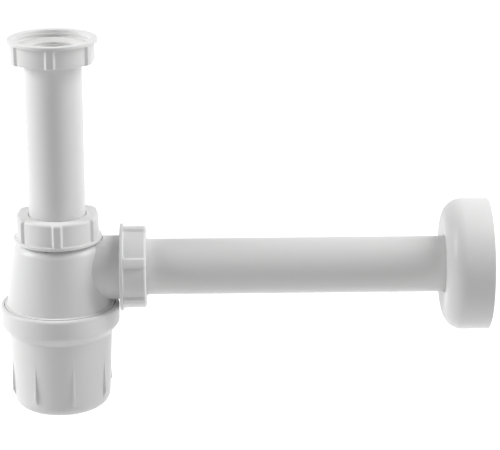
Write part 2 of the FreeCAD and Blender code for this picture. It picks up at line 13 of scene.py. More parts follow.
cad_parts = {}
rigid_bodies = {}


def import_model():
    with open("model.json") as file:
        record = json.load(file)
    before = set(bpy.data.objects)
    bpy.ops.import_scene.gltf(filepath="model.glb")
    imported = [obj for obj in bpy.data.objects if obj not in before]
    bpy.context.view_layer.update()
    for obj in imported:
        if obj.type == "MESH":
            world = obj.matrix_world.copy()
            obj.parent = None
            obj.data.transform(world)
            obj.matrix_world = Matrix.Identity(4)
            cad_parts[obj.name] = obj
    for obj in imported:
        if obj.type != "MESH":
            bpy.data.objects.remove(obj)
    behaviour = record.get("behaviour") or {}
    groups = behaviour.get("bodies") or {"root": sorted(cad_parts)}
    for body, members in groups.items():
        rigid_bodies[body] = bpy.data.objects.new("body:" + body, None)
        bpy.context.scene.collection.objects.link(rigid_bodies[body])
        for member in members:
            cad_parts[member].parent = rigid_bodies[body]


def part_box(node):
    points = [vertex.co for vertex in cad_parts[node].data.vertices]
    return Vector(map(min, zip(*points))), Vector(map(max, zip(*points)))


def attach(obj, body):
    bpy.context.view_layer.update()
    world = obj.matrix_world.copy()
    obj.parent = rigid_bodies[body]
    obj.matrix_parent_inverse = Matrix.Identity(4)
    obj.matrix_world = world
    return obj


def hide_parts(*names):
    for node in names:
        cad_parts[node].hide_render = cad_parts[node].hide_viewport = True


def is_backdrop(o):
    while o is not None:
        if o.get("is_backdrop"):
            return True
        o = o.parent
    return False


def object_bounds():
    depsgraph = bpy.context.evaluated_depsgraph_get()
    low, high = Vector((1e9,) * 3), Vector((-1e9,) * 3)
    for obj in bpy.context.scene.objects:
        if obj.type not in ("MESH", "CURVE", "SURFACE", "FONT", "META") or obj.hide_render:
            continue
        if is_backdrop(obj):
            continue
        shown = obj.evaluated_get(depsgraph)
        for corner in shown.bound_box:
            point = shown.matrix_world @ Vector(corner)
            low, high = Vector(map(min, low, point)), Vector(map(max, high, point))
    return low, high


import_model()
cad_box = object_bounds()

# %% [markdown]
# Blender works in metres and a maker thinks in millimetres, so outlines are written in
# millimetres and multiplied once. The places are read from the frame: the waste seat is the
# origin, the two sockets are found from their seals, and the wall from the rosette's rim.

# %% Millimetres, and the places that the frame gives
MM = 0.001


def low(node):
    """Lowest corner of a CAD node, in millimetres."""
    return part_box(node)[0] / MM


def high(node):
    """Highest corner of a CAD node, in millimetres."""
    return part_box(node)[1] / MM


SEAT_GAP = 0.1
SEAL_HEAD = 1.6
neck_mouth = high("inlet_cone_seal").z - SEAL_HEAD
branch_mouth = high("outlet_cone_seal").x - SEAL_HEAD
outlet_axis = (low("outlet_tube").z + high("outlet_tube").z) / 2
wall_plane = high("wall_rosette").x
print(f"neck mouth z {neck_mouth:.1f}, branch mouth x {branch_mouth:.1f}")
print(f"outlet axis z {outlet_axis:.1f}, wall x {wall_plane:.1f}")

# %% [markdown]
# An operator acts on everything that is selected, and loading the frame leaves its nodes
# selected. This small helper clears that and picks one piece, as a click would.

# %% Pick one piece
def pick(piece):
    """Select this piece alone and make it the active one."""
    if bpy.context.object and bpy.context.object.mode != "OBJECT":
        bpy.ops.object.mode_set(mode="OBJECT")
    bpy.ops.object.select_all(action="DESELECT")
    piece.select_set(True)
    bpy.context.view_layer.objects.active = piece


# %% [markdown]
# Moulded plastic has no sharp edges. Each corner of an outline therefore carries a third number:
# how far from the corner its round begins. The round is a quarter of an ellipse that leaves one
# edge and meets the next without a kink. A pair of numbers makes it longer on one side, as the
# big soft shoulder of the wall rosette needs.

# %% Rounded outlines
ROUND_STEPS = 5
BIG_ROUND = 3.0


def rounded_outline(corners):
    """Points (radius, height) of a closed outline from corners (radius, height, round)."""
    points = []
    count = len(corners)
    for index, (radius, height, size) in enumerate(corners):
        corner = Vector((radius, height))
        if not size:
            points.append(corner)
            continue
        before, after = size if isinstance(size, tuple) else (size, size)
        to_last = (Vector(corners[index - 1][:2]) - corner).normalized()
        to_next = (Vector(corners[(index + 1) % count][:2]) - corner).normalized()
        steps = ROUND_STEPS if max(before, after) < BIG_ROUND else 3 * ROUND_STEPS
        for step in range(steps + 1):
            angle = math.pi / 2 * step / steps
            inwards = to_last * before * (1 - math.sin(angle))
            points.append(corner + inwards + to_next * after * (1 - math.cos(angle)))
    return points


square = rounded_outline([(1, 0, 0.2), (2, 0, 0.2), (2, 1, 0.2), (1, 1, 0.2)])
print("a rounded square has", len(square), "points")

# %% [markdown]
# Turning. One vertex is drawn along the outline by extruding it from point to point, and the
# finished outline is spun once round the Z axis, like wood on a lathe. Spinning leaves doubles
# where the outline touches the axis, so they are merged before the faces are made to look
# outwards. The start angle decides where the columns of faces fall, which matters for ribs.

# %% Turn an outline
COLUMNS = 144
SAME_PLACE = 0.001 * MM


def draw(name, places):
    """A new piece that is a closed line through these places. It is left in edit mode."""
    bpy.ops.object.select_all(action="DESELECT")
    bpy.ops.mesh.primitive_plane_add(size=MM, location=(0, 0, 0))
    piece = bpy.context.object
    piece.name = piece.data.name = name
    bpy.ops.object.mode_set(mode="EDIT")
    bpy.ops.mesh.select_mode(type="VERT")
    bpy.ops.mesh.select_all(action="SELECT")
    bpy.ops.mesh.merge(type="CENTER")
    bpy.ops.transform.translate(value=places[0])
    for here, there in zip(places, places[1:] + places[:1]):
        bpy.ops.mesh.extrude_region_move(TRANSFORM_OT_translate={"value": there - here})
    bpy.ops.mesh.select_all(action="SELECT")
    bpy.ops.mesh.remove_doubles(threshold=SAME_PLACE)
    return piece


def turn(name, corners, start_angle=0.0, columns=COLUMNS):
    """A closed solid of revolution about the Z axis. Angles are in degrees from +X."""
    angle = math.radians(start_angle)
    across = Vector((math.cos(angle), math.sin(angle), 0))
    points = rounded_outline(corners)
    places = [across * point.x * MM + Vector((0, 0, point.y * MM)) for point in points]
    piece = draw(name, places)
    bpy.ops.mesh.spin(steps=columns, angle=math.tau, center=(0, 0, 0), axis=(0, 0, 1))
    bpy.ops.mesh.select_all(action="SELECT")
    bpy.ops.mesh.remove_doubles(threshold=SAME_PLACE)
    bpy.ops.mesh.normals_make_consistent(inside=False)
    bpy.ops.object.mode_set(mode="OBJECT")
    return piece


# %% [markdown]
# Three finishing moves that almost every piece needs. Soft edges come from a Bevel modifier that
# only acts on edges sharper than an angle, and smooth shading stops at the same kind of edge.
# A finished piece is then put in its place with its transform applied, so that its object stays
# at the origin, as the CAD nodes do.

# %% Soften, smooth and place
SMOOTH_ANGLE = math.radians(32)
EDGE_SEGMENTS = 3


def apply_modifier(piece, modifier):
    pick(piece)
    bpy.ops.object.modifier_apply(modifier=modifier.name)


def soften(piece, width, angle=35):
    """Round every edge that is sharper than the angle, by the width in millimetres."""
    bevel = piece.modifiers.new("soft edges", "BEVEL")
    bevel.width = width * MM
    bevel.segments = EDGE_SEGMENTS
    bevel.limit_method = "ANGLE"
    bevel.angle_limit = math.radians(angle)
    apply_modifier(piece, bevel)


def smooth(piece):
    pick(piece)
    bpy.ops.object.shade_smooth_by_angle(angle=SMOOTH_ANGLE)


def settle(piece, turned_y=0.0, x=0.0, z=0.0):
    """Turn the piece about Y, move it (degrees, millimetres) and write that into its mesh."""
    pick(piece)
    piece.rotation_euler = (0, math.radians(turned_y), 0)
    piece.location = (x * MM, 0, z * MM)
    bpy.ops.object.transform_apply(location=True, rotation=True, scale=True)


def stand(piece, height):
    """On the inlet axis, with its own origin at this height."""
    settle(piece, z=height)


def lay(piece, along):
    """On the outlet axis, its own +Z towards the wall, with its own origin at this X."""
    settle(piece, turned_y=90, x=along, z=outlet_axis)


# %% [markdown]
# Joining solids. A Boolean modifier with the exact solver welds two closed meshes into one, or
# cuts one out of the other, so no faces are left inside the plastic.

# %% Weld and cut
def combine(piece, tool, operation):
    """Apply a Boolean of the tool to the piece and remove the tool."""
    boolean = piece.modifiers.new(operation.lower(), "BOOLEAN")
    boolean.object = tool
    boolean.operation = operation
    boolean.solver = "EXACT"
    apply_modifier(piece, boolean)
    bpy.data.objects.remove(tool)


# %% [markdown]
# Screw threads. The CAD holds them as plain cylinders. Here each is a real helix: the corners of
# a small plane are moved to those of a trapezium, and the Screw modifier winds it up the axis.
# Its first and last stretch sink into the wall, as the run-out of a moulded thread does. The
# ridge overlaps its wall a little and is joined to it.

# %% Wind a thread
THREAD_STEPS = 72
RUN_OUT = math.radians(35)
ROOT_SINK = 0.15
FOOT_SHARE = 0.6
CREST_SHARE = 0.3


def wind_thread(piece, root, crest, start, end, lead, phase=0.0):
    """Join a right-hand ridge from root to crest radius, between two heights (millimetres).
    Its widths are shares of the lead. A crest inside the root makes a thread in a bore."""
    outwards = 1 if crest > root else -1
    sunk = root - outwards * ROOT_SINK
    half_foot = lead * FOOT_SHARE / 2
    half_crest = lead * CREST_SHARE / 2
    turns = (end - start - lead * FOOT_SHARE) / lead
    bottom = start + half_foot
    bpy.ops.object.select_all(action="DESELECT")
    bpy.ops.mesh.primitive_plane_add(size=MM)
    ridge = bpy.context.object
    section = [(sunk, -half_foot), (crest, -half_crest), (crest, half_crest), (sunk, half_foot)]
    for vertex, (radius, height) in zip((0, 1, 3, 2), section):
        ridge.data.vertices[vertex].co = (radius * MM, 0, (bottom + height) * MM)
    screw = ridge.modifiers.new("thread", "SCREW")
    screw.axis = "Z"
    screw.angle = math.tau * turns
    screw.screw_offset = lead * turns * MM
    screw.steps = screw.render_steps = int(THREAD_STEPS * turns)
    screw.use_merge_vertices = False
    apply_modifier(ridge, screw)
    bury_ends(ridge, root, bottom, lead, turns)
    ridge.rotation_euler = (0, 0, math.radians(phase))
    bpy.ops.object.transform_apply(location=True, rotation=True, scale=True)
    bpy.ops.object.mode_set(mode="EDIT")
    bpy.ops.mesh.select_all(action="SELECT")
    bpy.ops.mesh.normals_make_consistent(inside=False)
    bpy.ops.object.mode_set(mode="OBJECT")
    pick(piece)
    ridge.select_set(True)
    bpy.ops.object.join()
    return turns


def bury_ends(ridge, root, bottom, lead, turns):
    """Let the ridge sink into its wall over its first and last stretch."""
    for vertex in ridge.data.vertices:
        radius = math.hypot(vertex.co.x, vertex.co.y)
        height = vertex.co.z / MM - bottom
        turned = (height / lead) * math.tau
        nearest = min(turned, turns * math.tau - turned)
        share = max(0.0, min(1.0, nearest / RUN_OUT))
        depth = (root * MM - radius) * (1 - share)
        vertex.co.x *= 1 + depth / radius
        vertex.co.y *= 1 + depth / radius


# %% [markdown]
# Each nut has six ribs that fingers hold. They need no new faces: the columns of faces under
# each rib are moved outwards together, and the neighbouring columns become the rib's sloped
# sides. A plain turned nut has to have its columns in the right places for that.

# %% Grip ribs on a turned nut
NUT_COLUMNS = 120
NUT_WALL = 23.3
RIB_CREST = 24.55
RIB_ANGLE = 60
COLUMN_ANGLE = 360 / NUT_COLUMNS
RIB_HALF = 1.5 * COLUMN_ANGLE + 0.1
RIB_EDGE = 0.34
CORNER_REACH = 1.7


def raise_ribs(piece, first_angle, bottom, top):
    """Move the wall outwards at every rib, between two heights in millimetres."""
    pick(piece)
    bpy.ops.object.mode_set(mode="EDIT")
    bpy.ops.mesh.select_mode(type="VERT")
    bpy.ops.mesh.select_all(action="DESELECT")
    bpy.ops.object.mode_set(mode="OBJECT")
    for vertex in piece.data.vertices:
        place = vertex.co / MM
        radius = math.hypot(place.x, place.y)
        angle = math.degrees(math.atan2(place.y, place.x)) - first_angle
        off = (angle + RIB_ANGLE / 2) % RIB_ANGLE - RIB_ANGLE / 2
        on_wall = NUT_WALL - CORNER_REACH < radius < NUT_WALL + 0.1
        vertex.select = on_wall and abs(off) < RIB_HALF and bottom < place.z < top
    chosen = sum(vertex.select for vertex in piece.data.vertices)
    bpy.ops.object.mode_set(mode="EDIT")
    grow = RIB_CREST / NUT_WALL
    bpy.ops.transform.resize(value=(grow, grow, 1), center_override=(0, 0, 0))
    bpy.ops.object.mode_set(mode="OBJECT")
    return chosen


# %% [markdown]
# The union nut draws the trap up to the sink waste. It is a cup with a flange at its upper rim,
# a short thread under the rim, a seat for the washer and a floor that lifts the tube's collar.
# The ribs are raised first, then all edges are softened, and the thread is wound on last.

# %% Union nut
TUBE_RADIUS = 16.0
NUT_HOLE = 16.35
FLANGE = 25.0
FLANGE_THICKNESS = 2.0
WASTE_ROOT = 20.955
WASTE_CREST = 20.45
WASTE_LEAD = 2.309
union_top = high("union_nut").z
union_foot = low("union_nut").z
UNION_FLOOR = 3.5
UNION_POCKET = 19.6
MOUTH_FLARE = 0.4
MOUTH_DEPTH = 0.5
UNION_RIB = -90.0


def make_union_nut():
    name = "union_nut_grip"
    flange_foot = union_top - FLANGE_THICKNESS
    seat = union_foot + UNION_FLOOR
    nut = turn(name, [
        (NUT_HOLE, union_foot, 0.4),
        (NUT_WALL, union_foot, 1.6),
        (NUT_WALL, flange_foot, 0.25),
        (FLANGE, flange_foot, 0.4),
        (FLANGE, union_top, 0.6),
        (WASTE_ROOT + MOUTH_FLARE, union_top, 0.3),
        (WASTE_ROOT, union_top - MOUTH_DEPTH, 0),
        (WASTE_ROOT, 0, 0),
        (UNION_POCKET, 0, 0.15),
        (UNION_POCKET, seat, 0.3),
        (NUT_HOLE, seat, 0.3),
    ], UNION_RIB + COLUMN_ANGLE / 2, NUT_COLUMNS)
    chosen = raise_ribs(nut, UNION_RIB, union_foot - 0.1, flange_foot + 0.01)
    soften(nut, RIB_EDGE)
    wound = wind_thread(nut, WASTE_ROOT, WASTE_CREST, start=0.2, end=union_top - 0.6, lead=WASTE_LEAD)
    smooth(nut)
    print(f"{name}: {chosen} vertices in ribs, {wound:.2f} turns of thread")
    return nut


union_nut = make_union_nut()

# %% [markdown]
# The washer lies in the nut and is seen from above, round the mouth of the tube. It is a plain
# moulded ring whose top falls like a funnel towards its hole. Its edges are soft.

# %% Waste washer
WASHER_HOLE = 14.6
WASHER_RADIUS = 19.3
WASHER_THICKNESS = 3.0
FUNNEL_RADIUS = 17.4
FUNNEL_DEPTH = 1.8


def make_waste_washer():
    return turn("waste_washer_ring", [
        (WASHER_HOLE, -WASHER_THICKNESS, 0.3),
        (WASHER_RADIUS, -WASHER_THICKNESS, 0.5),
        (WASHER_RADIUS, 0, 0.5),
        (FUNNEL_RADIUS, 0, 0.8),
        (WASHER_HOLE, -FUNNEL_DEPTH, 0.4),
    ])


waste_washer = make_waste_washer()
smooth(waste_washer)
print("waste washer faces:", len(waste_washer.data.polygons))

# %% [markdown]
# The two tubes are extruded and cut to length. The inlet tube has a collar that the union nut
# carries. The outlet tube has a lead-in at its end, and a ring that shows how far it goes into
# the wall pipe. Their bores are open all the way, so one can look down them.

# %% Tubes
BORE = 14.2
CARRIED_RADIUS = 19.2
CARRIED_THICKNESS = 2.5
MARK_FROM_END = 18.0
MARK_WIDTH = 1.0
MARK_SLOPE = 0.1
MARK_DEPTH = 0.3
LEAD_IN = 1.0


def make_inlet_tube():
    tube_top = high("inlet_tube").z
    tube_foot = low("inlet_tube").z
    collar_foot = tube_top - CARRIED_THICKNESS
    return turn("inlet_tube_wall", [
        (BORE, tube_foot, 0.3),
        (TUBE_RADIUS, tube_foot, 0.5),
        (TUBE_RADIUS, collar_foot, 0.4),
        (CARRIED_RADIUS, collar_foot, 0.3),
        (CARRIED_RADIUS, tube_top, 0.4),
        (BORE, tube_top, 0.6),
    ])


def make_outlet_tube():
    length = high("outlet_tube").x - low("outlet_tube").x
    mark = length - MARK_FROM_END
    tube = turn("outlet_tube_wall", [
        (BORE, 0, 0.3),
        (TUBE_RADIUS, 0, 0.5),
        (TUBE_RADIUS, mark - MARK_WIDTH, 0.1),
        (TUBE_RADIUS - MARK_DEPTH, mark - MARK_WIDTH + MARK_SLOPE, 0),
        (TUBE_RADIUS - MARK_DEPTH, mark - MARK_SLOPE, 0),
        (TUBE_RADIUS, mark, 0.1),
        (TUBE_RADIUS, length - LEAD_IN, 0.2),
        (TUBE_RADIUS - LEAD_IN, length, 0.2),
        (BORE, length, 0.3),
    ])
    lay(tube, low("outlet_tube").x)
    return tube


inlet_tube = make_inlet_tube()
outlet_tube = make_outlet_tube()
for tube in (inlet_tube, outlet_tube):
    smooth(tube)
    print(tube.name, "faces:", len(tube.data.polygons))

# %% [markdown]
# Each tube enters the body through the same compression joint, so one set of functions makes
# both: a ribbed nut, a slip ring and a cone seal. Their own origin is the mouth of the socket and
# +Z points out of it. The nut's thread is wound half a lead away from the one on the body, so
# the ridges of one run in the grooves of the other while the nut unscrews.

# %% Compression nuts
THREAD_LEAD = 3.0
NUT_BORE = 21.6
NUT_CREST = 20.65
NUT_FOOT = -9.0
NUT_TOP = 6.0
NUT_CEILING = 3.6
THREAD_START = NUT_FOOT + 0.7
INLET_RIB = -87.4
OUTLET_RIB = -114.0


def make_compression_nut(name, rib_angle):
    flange_top = NUT_FOOT + FLANGE_THICKNESS
    nut = turn(name, [
        (NUT_BORE, NUT_FOOT, 0.5),
        (FLANGE, NUT_FOOT, 0.6),
        (FLANGE, flange_top, 0.5),
        (NUT_WALL, flange_top, 0.25),
        (NUT_WALL, NUT_TOP, 1.7),
        (NUT_HOLE, NUT_TOP, 0.5),
        (NUT_HOLE, NUT_CEILING, 0.3),
        (NUT_BORE, NUT_CEILING, 0.4),
    ], rib_angle + COLUMN_ANGLE / 2, NUT_COLUMNS)
    chosen = raise_ribs(nut, rib_angle, flange_top - 0.01, NUT_TOP + 0.1)
    soften(nut, RIB_EDGE)
    wound = wind_thread(
        nut, NUT_BORE, NUT_CREST, THREAD_START, end=0.2, lead=THREAD_LEAD, phase=180
    )
    smooth(nut)
    print(f"{name}: {chosen} vertices in ribs, {wound:.2f} turns of thread")
    return nut


inlet_nut = make_compression_nut("inlet_nut_grip", INLET_RIB)
outlet_nut = make_compression_nut("outlet_nut_grip", OUTLET_RIB)

# %% [markdown]
# Under each nut lies a flat slip ring, and under the ring a cone seal of rubber. The ring takes
# the turning of the nut, so the seal is only pressed down. Its cone fills the wedge between the
# tube and the mouth of the socket, which is what keeps the water in.

# %% Slip rings and cone seals
RING_BORE = 16.3
RING_RADIUS = 20.4
RING_FOOT = 1.7
RING_TOP = 3.5
SEAL_BORE = 16.05
SEAL_RADIUS = 20.2
SEAL_TIP = -5.8
CONE_TIP_RADIUS = 18.44
CONE_RADIUS = 19.6


def make_slip_ring(name):
    ring = turn(name, [
        (RING_BORE, RING_FOOT, 0.2),
        (RING_RADIUS, RING_FOOT, 0.2),
        (RING_RADIUS, RING_TOP, 0.2),
        (RING_BORE, RING_TOP, 0.2),
    ])
    smooth(ring)
    return ring


def make_cone_seal(name):
    seal = turn(name, [
        (SEAL_BORE, SEAL_TIP, 0.4),
        (CONE_TIP_RADIUS, SEAL_TIP, 0.5),
        (CONE_RADIUS, SEAT_GAP, 0.1),
        (SEAL_RADIUS, SEAT_GAP, 0.2),
        (SEAL_RADIUS, SEAL_HEAD, 0.4),
        (SEAL_BORE, SEAL_HEAD, 0.5),
    ])
    smooth(seal)
    return seal


inlet_slip_ring = make_slip_ring("inlet_slip_ring_flat")
outlet_slip_ring = make_slip_ring("outlet_slip_ring_flat")
inlet_cone_seal = make_cone_seal("inlet_cone_seal_rubber")
outlet_cone_seal = make_cone_seal("outlet_cone_seal_rubber")
for piece in (inlet_nut, inlet_slip_ring, inlet_cone_seal):
    stand(piece, neck_mouth)
for piece in (outlet_nut, outlet_slip_ring, outlet_cone_seal):
    lay(piece, branch_mouth)
print("cone seal faces:", len(inlet_cone_seal.data.polygons))

# %% [markdown]
# The body of the trap is one hollow moulding. Its outside is a turned head with a neck, and a
# turned branch that is laid through its side. While the body is made, the mouth of the neck is
# height zero, so all heights below it are negative.

# %% Outside of the trap body
OUTLET_DROP = neck_mouth - outlet_axis
THREAD_ROOT = 20.3
SHOULDER = -10.2
SHOULDER_RADIUS = 24.5
BASE = low("trap_body").z - neck_mouth
BASE_RADIUS = 30.1
BASE_INSET = 0.05
FOOT_THREAD = BASE + 8.6
BEAD_TOP = FOOT_THREAD + 1.5
BEAD_RADIUS = 31.5
FOOT_ROOT = 30.3
BRANCH_RADIUS = 18.2
BRANCH_START = 19.6
BRANCH_THREAD = 8.5


def make_head():
    return turn("trap_body_shell", [
        (0, 0, 0),
        (THREAD_ROOT, 0, 0.3),
        (THREAD_ROOT, SHOULDER, 0.5),
        (SHOULDER_RADIUS, SHOULDER, (4.0, 4.3)),
        (BASE_RADIUS - BASE_INSET, BEAD_TOP, 0.4),
        (BEAD_RADIUS, BEAD_TOP, 0.35),
        (BEAD_RADIUS, FOOT_THREAD, 0.3),
        (FOOT_ROOT, FOOT_THREAD, 0.2),
        (FOOT_ROOT, BASE, 0.4),
        (0, BASE, 0),
    ])


def make_branch():
    thread_start = branch_mouth - BRANCH_THREAD
    branch = turn("branch", [
        (0, BRANCH_START, 0),
        (BRANCH_RADIUS, BRANCH_START, 0),
        (BRANCH_RADIUS, thread_start, 0.2),
        (THREAD_ROOT, thread_start, 0.3),
        (THREAD_ROOT, branch_mouth, 0.3),
        (0, branch_mouth, 0),
    ])
    settle(branch, turned_y=90, z=-OUTLET_DROP)
    return branch


print(f"the outlet's axis is {OUTLET_DROP:.1f} below the mouth of the neck, the base {-BASE:.1f}")

# %% [markdown]
# Water runs through the body, so it is hollow. In the mouth of each socket a cone takes the seal,
# below it the neck has a step for the dip tube, and then it opens into the chamber. The hollows
# are turned as solids, a little longer than needed, and cut out. One more solid is cut away
# from outside, where the flange of the inlet nut comes close to the branch.

# %% Hollows of the trap body
THREAD_CREST = 21.3
WALL = 2.0
SEAT_MOUTH = 20.0
SEAT_FOOT = 18.7
SEAT_DEPTH = 6.0
DIP_SEAT = 18.8
DIP_SEAT_DEPTH = 8.0
THROAT = 17.9
SOCKET = 16.4
STOP_GAP = 1.0
NUT_ROOM = 0.3
CUT_OVER = 0.5


def make_chamber():
    ceiling = SHOULDER - WALL
    return turn("chamber", [
        (0, CUT_OVER, 0),
        (SEAT_MOUTH, CUT_OVER, 0),
        (SEAT_FOOT, -SEAT_DEPTH, 0),
        (DIP_SEAT, -SEAT_DEPTH, 0),
        (DIP_SEAT, -DIP_SEAT_DEPTH, 0),
        (THROAT, -DIP_SEAT_DEPTH, 0),
        (THROAT, ceiling, 0.3),
        (SHOULDER_RADIUS - WALL, ceiling, 3.0),
        (BASE_RADIUS - WALL, FOOT_THREAD, 1.0),
        (BASE_RADIUS - WALL, BASE - CUT_OVER, 0),
        (0, BASE - CUT_OVER, 0),
    ])


def make_branch_bore():
    stop = low("outlet_tube").x - STOP_GAP
    bore = turn("branch bore", [
        (0, BRANCH_START, 0),
        (BORE, BRANCH_START, 0),
        (BORE, stop, 0),
        (SOCKET, stop, 0),
        (SOCKET, branch_mouth - SEAT_DEPTH, 0),
        (SEAT_FOOT, branch_mouth - SEAT_DEPTH, 0),
        (SEAT_MOUTH, branch_mouth + CUT_OVER, 0),
        (0, branch_mouth + CUT_OVER, 0),
    ])
    settle(bore, turned_y=90, z=-OUTLET_DROP)
    return bore


def make_nut_floor():
    """The level place that is milled into the branch under the flange of the inlet nut."""
    return turn("nut floor", [
        (THREAD_CREST, NUT_FOOT - NUT_ROOM, 0),
        (FLANGE + NUT_ROOM, NUT_FOOT - NUT_ROOM, 0),
        (FLANGE + NUT_ROOM, 0, 0),
        (THREAD_CREST, 0, 0),
    ])


print("the wall of the chamber is", WALL, "mm thick")

# %% [markdown]
# Head and branch are welded first, so that a cut goes through both. The threads come last, on
# the finished outside. The one on the branch is wound upright on a thin sleeve of its own, which
# lies inside the wall, and then it is laid with the branch.

# %% Trap body
FOOT_CREST = 31.5
FOOT_LEAD = 4.0
THREAD_TOP = -0.5
SLEEVE_FOOT = -8.0
SLEEVE_BORE = THREAD_ROOT - 0.3
SLEEVE_RADIUS = THREAD_ROOT - 0.1


def make_trap_body():
    body = make_head()
    combine(body, make_branch(), "UNION")
    combine(body, make_nut_floor(), "DIFFERENCE")
    combine(body, make_chamber(), "DIFFERENCE")
    combine(body, make_branch_bore(), "DIFFERENCE")
    neck_start = NUT_FOOT - NUT_ROOM
    foot_start = BASE + 0.5
    foot_end = FOOT_THREAD - 0.4
    wound = [
        wind_thread(body, THREAD_ROOT, THREAD_CREST, neck_start, THREAD_TOP, THREAD_LEAD),
        wind_thread(body, FOOT_ROOT, FOOT_CREST, foot_start, foot_end, FOOT_LEAD),
    ]
    settle(body, z=neck_mouth)
    print("trap body: turns of thread", [round(turns, 2) for turns in wound])
    return body


def make_branch_thread():
    """The sleeve with the branch's thread, laid where the branch is."""
    sleeve = turn("branch_thread_sleeve", [
        (SLEEVE_BORE, SLEEVE_FOOT, 0),
        (SLEEVE_RADIUS, SLEEVE_FOOT, 0),
        (SLEEVE_RADIUS, THREAD_TOP, 0),
        (SLEEVE_BORE, THREAD_TOP, 0),
    ])
    wind_thread(sleeve, THREAD_ROOT, THREAD_CREST, THREAD_START, THREAD_TOP, THREAD_LEAD)
    lay(sleeve, branch_mouth)
    return sleeve


trap_body = make_trap_body()
branch_thread = make_branch_thread()
pick(trap_body)
branch_thread.select_set(True)
bpy.ops.object.join()
smooth(trap_body)
print("trap body faces:", len(trap_body.data.polygons))

# %% [markdown]
# The dip tube hangs in the neck and takes the water down into the cup. Nothing of it is seen
# until the cup is off, or from above through the inlet tube, but it makes the water seal.

# %% Dip tube
DIP_BORE = 16.4
DIP_RADIUS = 17.6
DIP_FLANGE = 18.5
DIP_FLANGE_THICKNESS = 1.8


def make_dip_tube():
    top = high("dip_tube").z
    foot = low("dip_tube").z
    flange_foot = top - DIP_FLANGE_THICKNESS
    return turn("dip_tube_wall", [
        (DIP_BORE, foot, 0.3),
        (DIP_RADIUS, foot, 0.3),
        (DIP_RADIUS, flange_foot, 0.15),
        (DIP_FLANGE, flange_foot, 0.2),
        (DIP_FLANGE, top, 0.3),
        (DIP_BORE, top, 0.5),
    ])


dip_tube = make_dip_tube()
smooth(dip_tube)
print("dip tube faces:", len(dip_tube.data.polygons))

# %% [markdown]
# The cup unscrews for cleaning. Its collar reaches over the thread at the foot of the body, and
# below it the wall tapers. A ledge inside the collar carries the gasket. The upper rim is height
# zero while the cup is made.

# %% Cup shell
CUP_TOP = high("cup").z
CUP_HEIGHT = CUP_TOP - low("cup").z
COLLAR = 34.0
COLLAR_BORE = 31.8
COLLAR_SKIRT = -11.3
COLLAR_END = -16.4
LEDGE = -11.8
CUP_TOP_RADIUS = 29.5
CUP_FOOT_RADIUS = 27.5
CUP_WALL = 1.8


def make_cup_shell():
    inner_top = CUP_TOP_RADIUS - CUP_WALL
    inner_foot = CUP_FOOT_RADIUS - CUP_WALL
    floor = CUP_WALL - CUP_HEIGHT
    return turn("cup_shell", [
        (0, -CUP_HEIGHT, 0),
        (CUP_FOOT_RADIUS, -CUP_HEIGHT, 6.5),
        (CUP_TOP_RADIUS, COLLAR_END, 0.8),
        (COLLAR, COLLAR_SKIRT, 1.4),
        (COLLAR, 0, (1.9, 1.6)),
        (COLLAR_BORE, 0, 0.3),
        (COLLAR_BORE, LEDGE, 0.3),
        (inner_top, LEDGE, 0.4),
        (inner_top, COLLAR_END, 1.0),
        (inner_foot, floor, 4.7),
        (0, floor, 0),
    ])


print(f"the cup is {CUP_HEIGHT:.1f} high and {2 * COLLAR:.1f} wide")

# %% [markdown]
# The eight grip ribs stand nearly upright, so they emerge from the wall as it falls back. One is
# drawn from the side and pulled to its width, and it is copied round. Its inner corners lie inside
# the wall, so the weld leaves only what stands out.

# %% Grip ribs of the cup
GRIP_START = 28.85
GRIP_RADIUS = 29.5
GRIP_FOOT = 27.3
GRIP_TOP_ROOT = 28.0
GRIP_ROOT = 27.1
GRIP_FOOT_ROOT = 26.6
GRIP_WIDTH = 1.3
GRIP_TOP = -30.0
GRIP_LIFT = 6.2
GRIP_SLOPE = 5.0
GRIP_EDGE = 0.3
GRIP_COUNT = 8
CUP_RIB = 16.5


def make_grip_rib():
    """One rib on the +X side."""
    foot = GRIP_LIFT - CUP_HEIGHT
    side = [
        (GRIP_TOP_ROOT, GRIP_TOP),
        (GRIP_START, GRIP_TOP),
        (GRIP_RADIUS, foot + GRIP_SLOPE),
        (GRIP_FOOT, foot),
        (GRIP_FOOT_ROOT, foot),
        (GRIP_ROOT, foot + GRIP_SLOPE),
    ]
    places = [Vector((radius, -GRIP_WIDTH / 2, height)) * MM for radius, height in side]
    rib = draw("grip_rib", places)
    bpy.ops.mesh.edge_face_add()
    bpy.ops.mesh.extrude_region_move(TRANSFORM_OT_translate={"value": (0, GRIP_WIDTH * MM, 0)})
    bpy.ops.mesh.select_all(action="SELECT")
    bpy.ops.mesh.normals_make_consistent(inside=False)
    bpy.ops.object.mode_set(mode="OBJECT")
    return rib


def make_grip_ribs():
    """All grip ribs as one mesh, copied round the cup."""
    first = make_grip_rib()
    soften(first, GRIP_EDGE, angle=8)
    ribs = [first]
    for index in range(1, GRIP_COUNT):
        pick(first)
        bpy.ops.object.duplicate()
        ribs.append(bpy.context.object)
        ribs[-1].rotation_euler = (0, 0, math.radians(index * 360 / GRIP_COUNT))
    pick(first)
    for rib in ribs:
        rib.select_set(True)
    bpy.ops.object.transform_apply(location=True, rotation=True, scale=True)
    bpy.ops.object.join()
    first.rotation_euler = (0, 0, math.radians(CUP_RIB))
    bpy.ops.object.transform_apply(location=True, rotation=True, scale=True)
    return first


# %% [markdown]
# Shell and ribs are welded, and the thread is wound inside the collar, with the lead of the one
# at the foot of the body.

# %% Cup
COLLAR_CREST = 30.65
COLLAR_THREAD_START = LEDGE + 1.0
COLLAR_THREAD_END = -0.9


